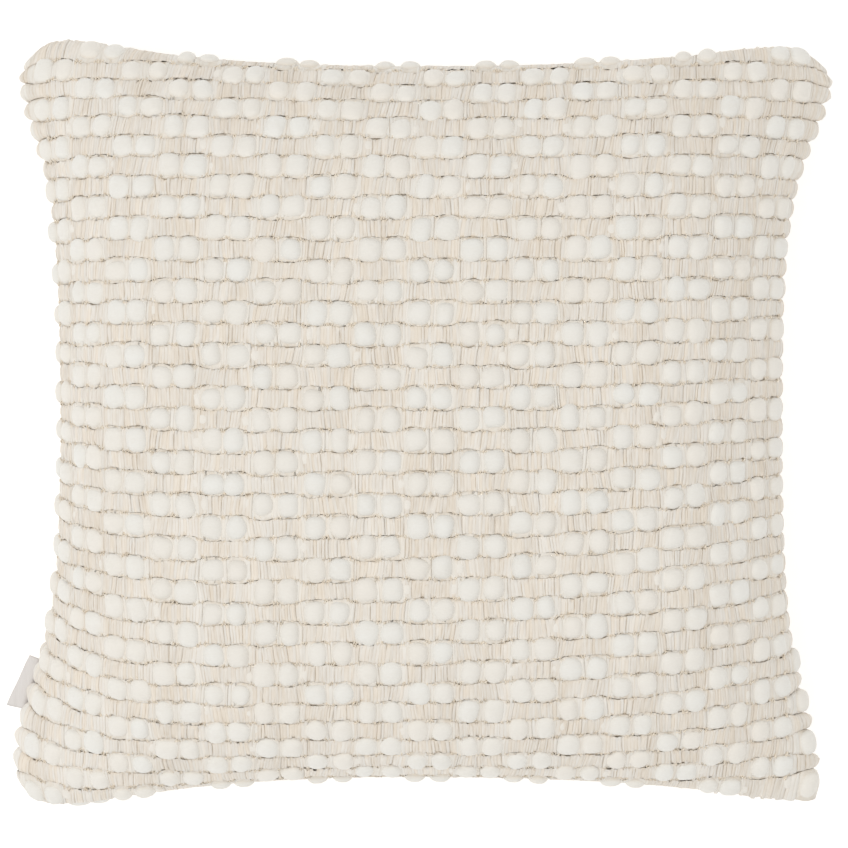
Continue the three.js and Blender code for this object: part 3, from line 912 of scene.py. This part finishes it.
# Painted shade round each bobble's foot: full at the lowest ring, fading out about a third of the
# way up.
rim_painted_shade = np.interp(ring_height, RIM_SHADE, (1, 0)) + np.zeros(numbers.shape)
wool_tint = np.append(random.uniform(0, 1, count), np.ones(bud_count))
bobbles = add_piece(
    "bobbles",
    np.concatenate([rings.reshape(-1, 3), crowns]),
    [bobble_quads.reshape(-1, 4), bobble_caps.reshape(-1, 3), numbers[:, -1, ::-1]],
    felted_wool,
    {
        "depth": np.append(rim_painted_shade.ravel(), np.zeros(len(crowns))),
        "tint": np.append(np.repeat(wool_tint, numbers[0].size), wool_tint),
    },
)
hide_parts("cushion")
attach(bobbles, "root")

# The diving warps: where a round bobble leaves a corner against its furrow, warps come up as
# short thick loops of cream cotton before they dive under the next row.
LOOPS_AT_CORNER = 3
LOOP_STATIONS = 4
LOOP_SIDES = 3
LOOP_RADIUS = (0.35, 0.65)
LOOP_LENGTH = (1.8, 3.4)
LOOP_FROM_BOBBLE = (4.6, 8.2)
LOOP_PAST_FURROW = (-0.5, 1.2)
LOOP_TURN = 0.5
LOOP_FOOT = -1.2
LOOP_RISE = (0.9, 1.8)
LOOPS_REACH = 234.0
TUBE_UPRIGHT = (0.31, 0.22, 0.92)
TUBE_TAPER = 0.5
TUBE_TAPER_POWER = 3


def tubes(paths, radii, sides):
    """Tubes round many paths at once: rings square to each path, thinner at both ends."""
    heading = np.gradient(paths, axis=1)
    heading /= np.linalg.norm(heading, axis=2, keepdims=True)
    sideways = np.cross(heading, TUBE_UPRIGHT)
    sideways /= np.linalg.norm(sideways, axis=2, keepdims=True)
    upward = np.cross(sideways, heading)
    turn = np.linspace(0, 2 * np.pi, sides, endpoint=False)[:, None]
    along = np.linspace(-1, 1, paths.shape[1])
    taper = 1 - TUBE_TAPER * np.abs(along) ** TUBE_TAPER_POWER
    radius = radii[:, None, None, None] * taper[None, :, None, None]
    ring = np.cos(turn) * sideways[:, :, None] + np.sin(turn) * upward[:, :, None]
    return paths[:, :, None] + radius * ring


def tube_faces(rings):
    """Side quads and end caps of many tubes, from their (tube, station, side) rings."""
    numbers = np.arange(rings[..., 0].size).reshape(rings.shape[:3])
    caps = np.concatenate([numbers[:, 0, ::-1], numbers[:, -1, :]])
    return [grid_faces(closed(numbers)), caps]


random = np.random.default_rng(31)
corner_x, corner_y = (part.ravel() for part in np.meshgrid([-1, 1], [-1, 1]))
loop_bobble = np.repeat(np.arange(count), 4 * LOOPS_AT_CORNER)
loop_x = np.tile(np.repeat(corner_x, LOOPS_AT_CORNER), count)
loop_y = np.tile(np.repeat(corner_y, LOOPS_AT_CORNER), count)
loop_count = loop_bobble.size
loop_across = bobble_across[loop_bobble] + loop_x * random.uniform(*LOOP_FROM_BOBBLE, loop_count)
loop_across = loop_across.clip(-LOOPS_REACH, LOOPS_REACH)
loop_furrow = np.clip(rows[loop_bobble] + (loop_y < 0), 1, ROW_COUNT - 1)
past_furrow = loop_y * random.uniform(*LOOP_PAST_FURROW, loop_count)
loop_up = furrow_line(loop_furrow, loop_across) - past_furrow
loop_turn = random.normal(0, LOOP_TURN, loop_count) + np.pi / 2
along = np.linspace(0, 1, LOOP_STATIONS)
run = random.uniform(*LOOP_LENGTH, loop_count)[:, None] * (along - 0.5)
loop_rise = random.uniform(*LOOP_RISE, loop_count)[:, None] * np.sin(np.pi * along)
loop_paths = woven_point(
    loop_across[:, None] + run * np.cos(loop_turn)[:, None],
    loop_up[:, None] + run * np.sin(loop_turn)[:, None],
    LOOP_FOOT + loop_rise,
)
loop_rings = tubes(loop_paths, random.uniform(*LOOP_RADIUS, loop_count), LOOP_SIDES)

loop_cotton = yarn_material(
    "loop cotton",
    dict(
        base=(0.90, 0.83, 0.72, 1),
        fleck=(0.84, 0.72, 0.57, 1),
        patch_scale=200.0, fibre_scale=2600.0, amount=0.8,
    ),
    dict(Roughness=0.95, Specular_IOR_Level=0.1, Sheen_Weight=0.1),
)

diving_warps = add_piece(
    "diving_warps", loop_rings.reshape(-1, 3), tube_faces(loop_rings), loop_cotton
)
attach(diving_warps, "root")

# The loose fibres: short ends of warp and wool that stand out of the furrows and round the
# feet of the bobbles, brushed up by the weaving.
FIBRE_COUNT = 4200
FIBRE_STATIONS = 4
FIBRE_SIDES = 3
FIBRE_RADIUS = (0.1, 0.2)
FIBRE_LENGTH = (1.6, 4.6)
FIBRE_OFF_FURROW = 0.5
FIBRE_TURN = 0.55
FIBRE_BOW = 0.22
FIBRE_FOOT = -1.7
FIBRE_RISE = (0.6, 2.0)
FIBRE_ARC = (0.15, 0.85)
FIBRES_REACH = 234.0

random = np.random.default_rng(23)
fibre_furrow = random.integers(1, ROW_COUNT, FIBRE_COUNT)
start_across = random.uniform(-FIBRES_REACH, FIBRES_REACH, FIBRE_COUNT)
off_furrow = random.normal(0, FIBRE_OFF_FURROW, FIBRE_COUNT)
start_up = furrow_line(fibre_furrow, start_across) + off_furrow
length = random.uniform(*FIBRE_LENGTH, FIBRE_COUNT)
heading = random.normal(0, FIBRE_TURN, FIBRE_COUNT)
heading = heading + np.pi * random.integers(0, 2, FIBRE_COUNT)
bow = random.normal(0, FIBRE_BOW, FIBRE_COUNT)
along = np.linspace(0, 1, FIBRE_STATIONS)
run = length[:, None] * along
aside = (length * bow)[:, None] * np.sin(np.pi * along)
cosine, sine = np.cos(heading)[:, None], np.sin(heading)[:, None]
arc = np.sin(np.pi * np.linspace(*FIBRE_ARC, FIBRE_STATIONS))
fibre_paths = woven_point(
    start_across[:, None] + run * cosine - aside * sine,
    start_up[:, None] + run * sine + aside * cosine,
    FIBRE_FOOT + random.uniform(*FIBRE_RISE, FIBRE_COUNT)[:, None] * arc,
)
fibre_rings = tubes(fibre_paths, random.uniform(*FIBRE_RADIUS, FIBRE_COUNT), FIBRE_SIDES)

loose_yarn = yarn_material(
    "loose yarn",
    dict(
        base=(0.88, 0.81, 0.70, 1),
        fleck=(0.84, 0.72, 0.56, 1),
        patch_scale=260.0, fibre_scale=2600.0, amount=0.8,
    ),
    dict(Roughness=0.95, Specular_IOR_Level=0.1),
)

loose_fibres = add_piece(
    "loose_fibres", fibre_rings.reshape(-1, 3), tube_faces(fibre_rings), loose_yarn
)
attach(loose_fibres, "root")

# The back cloth: one sheet of plain-woven cotton, 500 by 475 mm, stitched to the front all
# round. It rounds up from the surface that the cushion lies on, and small gathers run in from
# the seam.
BACK_STATIONS = (161, 153)
BACK_THICKNESS = 1.6
BACK_SET_IN = 2.6
BACK_SET_IN_POWER = 12
GATHER_RISE = 1.6
GATHER_ONSET_POWER = 3
GATHER_SEAM_LOSS = 0.5
GATHER_SEAM_POWER = 30
GATHER_RUN = 4.3
GATHER_DRIFT = 2.0
GATHER_DRIFT_RUN = 23.0
GATHER_FADE = 0.4
GATHER_FADE_RUN = 11.0

u, v = panel_shares(BACK_STATIONS)
ring = np.maximum(np.abs(u), np.abs(v))
nearness = np.clip((ring - REST_SHARE) / (1 - REST_SHARE), 0, 1) ** GATHER_ONSET_POWER
nearness = nearness * (1 - GATHER_SEAM_LOSS * ring**GATHER_SEAM_POWER)
sweep = np.where(np.abs(u) > np.abs(v), v * PANEL_HALF_Y, u * PANEL_HALF_X)
sweep = sweep / np.maximum(ring, 0.01)
drift = GATHER_DRIFT * np.sin(sweep / GATHER_DRIFT_RUN)
fading = 1 - GATHER_FADE * (1 - np.sin(sweep / GATHER_FADE_RUN + 1))
gathers = GATHER_RISE * nearness * np.sin(sweep / GATHER_RUN + drift) * fading
back_points = under_point(u, v, gathers + BACK_SET_IN * ring**BACK_SET_IN_POWER)
numbers = np.arange(u.size).reshape(u.shape)

back_cotton, tree, shader = new_material(
    "back cotton", Roughness=0.92, Specular_IOR_Level=0.15, Sheen_Weight=0.1, Sheen_Roughness=0.5
)
cloth_place = add_node(tree, "ShaderNodeUVMap", uv_map="cloth").outputs[0]
slub_across, slub_up = (
    add_node(
        tree,
        "ShaderNodeTexNoise",
        {"Vector": draw_out(tree, cloth_place, scale), "Scale": 700.0, "Detail": 2.0},
    ).outputs[0]
    for scale in ((1.0, 0.06, 1.0), (0.06, 1.0, 1.0))
)
weave = add_node(tree, "ShaderNodeMath", {0: slub_across, 1: slub_up}, operation="ADD").outputs[0]
yarn = add_yarn(
    tree,
    cloth_place,
    base=(0.82, 0.75, 0.65, 1),
    fleck=(0.72, 0.62, 0.50, 1),
    patch_scale=25.0, fibre_scale=1200.0, amount=0.5,
)
tree.links.new(yarn["Color"], shader.inputs["Base Color"])
add_bump(tree, shader, weave, strength=0.5, distance=0.0006)


def add_wall(piece, thickness, offset):
    """Gives a piece made as one surface its cloth's thickness, in millimetres."""
    wall = piece.modifiers.new("wall", "SOLIDIFY")
    wall.thickness = thickness * MM
    wall.offset = offset


back_cloth = add_piece(
    "back_cloth",
    back_points.reshape(-1, 3),
    [grid_faces(numbers)[:, ::-1]],
    back_cotton,
    places=np.stack([u * PANEL_HALF_X, v * PANEL_HALF_Y], axis=-1).reshape(-1, 2),
)
add_wall(back_cloth, BACK_THICKNESS, -1)
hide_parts("back_panel")
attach(back_cloth, "root")

# The side tab: a bare length of satin tape folded once, its raw ends caught in the left seam,
# so that the fold stands out between the rows.
TAB_TOP = -162.0
TAB_BOTTOM = -191.0
TAB_ROOT = 1.5
TAB_REACH = (7.1, 12.6)
TAB_TURN = 2.5
TAB_SAG = 1.5
TAB_OPEN = 0.55
TAB_OPEN_POWER = 0.4
TAB_FOLD_POWER = 2.6
TAB_WAVE = {"along": 0.3, "open": 0.3, "rise": 0.25}
TAB_STATIONS = 25
TAB_AROUND = 15
TAB_WALL = 0.45

share = np.linspace(0, 1, TAB_STATIONS)[:, None]
turn = np.linspace(-1, 1, TAB_AROUND)[None, :]
root_x, root_y, root_z = np.moveaxis(
    front_point(-PANEL_HALF_X + 0 * share, TAB_TOP + (TAB_BOTTOM - TAB_TOP) * share), -1, 0
)
out = 1 - np.abs(turn) ** TAB_FOLD_POWER
leaf = np.sign(turn) * np.abs(turn) ** TAB_OPEN_POWER
opened = TAB_OPEN * (1 + TAB_WAVE["open"] * np.sin(7 * share))
hang = TAB_WAVE["rise"] * np.sin(8 * share + 1) * out - TAB_SAG * out**2
fold = np.stack(
    [
        root_x + TAB_ROOT - (TAB_REACH[0] + (TAB_REACH[1] - TAB_REACH[0]) * share) * out,
        root_y + TAB_WAVE["along"] * np.sin(9 * share) + TAB_TURN * out,
        root_z + opened * leaf + hang,
    ],
    axis=-1,
)
numbers = np.arange(fold[..., 0].size).reshape(fold.shape[:2])

tab_satin = yarn_material(
    "tab satin",
    dict(
        base=(0.74, 0.71, 0.69, 1),
        fleck=(0.64, 0.60, 0.57, 1),
        patch_scale=300.0, fibre_scale=2500.0, amount=0.6,
    ),
    dict(Roughness=0.45, Specular_IOR_Level=0.4, Sheen_Weight=0.1),
    stretch=(1.0, 0.05, 1.0),
    bump=dict(strength=0.2, distance=0.0002),
)

folded_tab = add_piece("folded_tab", fold.reshape(-1, 3), [grid_faces(numbers)], tab_satin)
add_wall(folded_tab, TAB_WALL, 0)
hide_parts("side_tab")
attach(folded_tab, "root")

# The studio: a plain white sheet under the cushion, a broad soft lamp on the left, and pale
# light from all round that is weaker low down.
FLOOR_HALF = 8.0
FLOOR_GLOW = 0.32
HORIZON_LIGHT = 0.37
ZENITH_LIGHT = 1.17
LAMP_PLACE = (-1.9, -0.3, 2.0)
LAMP_SIZE = 1.8
LAMP_POWER = 10.5
LAMP_AIM = (0, 0, 0.08)
CAMERA_HEIGHT = 2.4
SENSOR_WIDTH = 36.0
PHOTO_SIZE = 848
PHOTO_FOCUS = 3867.8

floor_mesh = bpy.data.meshes.new("floor")
floor_mesh.from_pydata(
    [(x * FLOOR_HALF, y * FLOOR_HALF, 0) for x, y in ((-1, -1), (1, -1), (1, 1), (-1, 1))],
    [],
    [(0, 1, 2, 3)],
)
floor_sheet, tree, shader = new_material(
    "floor",
    Base_Color=(0.9, 0.9, 0.895, 1),
    Roughness=0.9,
    Specular_IOR_Level=0.1,
    Emission_Color=(1, 1, 1, 1),
    Emission_Strength=FLOOR_GLOW,
)
floor_mesh.materials.append(floor_sheet)
floor = bpy.data.objects.new("floor", floor_mesh)
bpy.context.collection.objects.link(floor)

world = bpy.data.worlds.new("studio")
bpy.context.scene.world = world
world.use_nodes = True
tree = world.node_tree
background = tree.nodes["Background"]
background.inputs["Color"].default_value = (1.0, 0.995, 0.985, 1)
direction = add_node(tree, "ShaderNodeTexCoord").outputs["Generated"]
height = add_node(tree, "ShaderNodeSeparateXYZ", {0: direction}).outputs["Z"]
from_below = {"Value": height, "To Min": HORIZON_LIGHT, "To Max": ZENITH_LIGHT}
brightness = add_node(tree, "ShaderNodeMapRange", from_below).outputs[0]
tree.links.new(brightness, background.inputs["Strength"])

lamp_data = bpy.data.lights.new("key", "AREA")
lamp_data.size = LAMP_SIZE
lamp_data.energy = LAMP_POWER
lamp = bpy.data.objects.new("key", lamp_data)
lamp.location = LAMP_PLACE
aim = mathutils.Vector(LAMP_AIM) - lamp.location
lamp.rotation_euler = aim.to_track_quat("-Z", "Y").to_euler()
bpy.context.collection.objects.link(lamp)

camera_data = bpy.data.cameras.new("camera")
camera_data.sensor_width = SENSOR_WIDTH
camera_data.lens = SENSOR_WIDTH * PHOTO_FOCUS / PHOTO_SIZE
camera = bpy.data.objects.new("camera", camera_data)
camera.location = (FORM_PLACE[0] * MM, FORM_PLACE[1] * MM, CAMERA_HEIGHT)
bpy.context.collection.objects.link(camera)
bpy.context.scene.camera = camera
bpy.context.scene.view_settings.view_transform = "Standard"
